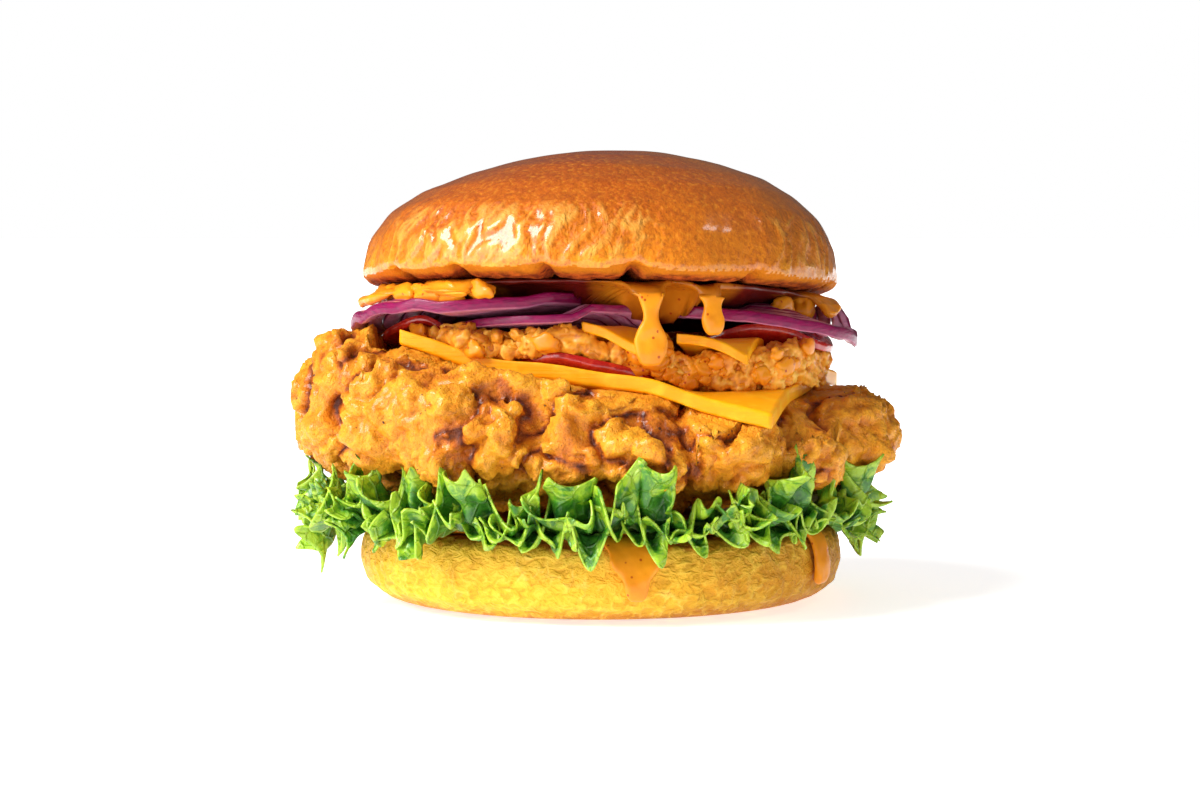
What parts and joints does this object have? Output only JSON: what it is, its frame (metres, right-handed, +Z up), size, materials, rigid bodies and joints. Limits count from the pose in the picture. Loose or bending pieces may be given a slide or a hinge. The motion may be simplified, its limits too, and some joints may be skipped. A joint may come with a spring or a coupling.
{
  "type": "fried chicken burger",
  "caption": "Tall fried chicken burger in a glossy bun, with frilly lettuce, craggy fillet, draped cheese, tomato, crispy bits, red onion and dripping sauce.",
  "frame": {"origin": "middle of the heel's flat base, on the surface that the burger stands on", "axes": "+Z up through the layers, -Y towards the front, where the lower cheese hangs out, +X towards the burger's right as seen from the front"},
  "size_m": [0.1373, 0.1279, 0.1019],
  "materials": {
    "bun": "soft bread, egg-washed and glossy on the crown",
    "fried_coating": "craggy fried crust with a light sheen of oil",
    "lettuce": "fresh waxy leaf",
    "cheese": "smooth, softly waxy",
    "tomato": "wet and glossy",
    "onion": "wet, with a glossy purple skin edge",
    "fried_crisps": "rough fried crumbs",
    "sauce": "thick, creamy and glossy"
  },
  "bodies": {
    "root": {"bun_heel": "bun", "sauce_heel": "sauce", "lettuce_leaf_1": "lettuce", "lettuce_leaf_2": "lettuce", "lettuce_leaf_3": "lettuce", "lettuce_leaf_4": "lettuce", "lettuce_leaf_5": "lettuce", "lettuce_leaf_6": "lettuce", "lettuce_leaf_7": "lettuce", "lettuce_leaf_8": "lettuce", "fillet": "fried_coating", "cheese_slice": "cheese", "tomato_slice_front": "tomato", "crispy_onion": "fried_crisps", "cheese_piece_left": "cheese", "cheese_piece_right": "cheese", "tomato_slice_left": "tomato", "tomato_slice_right": "tomato", "onion_slice_back": "onion", "onion_slice_lower": "onion", "onion_slice_left": "onion", "onion_slice_right": "onion", "sauce_crown": "sauce", "bun_crown": "bun"}
  },
  "joints": []
}
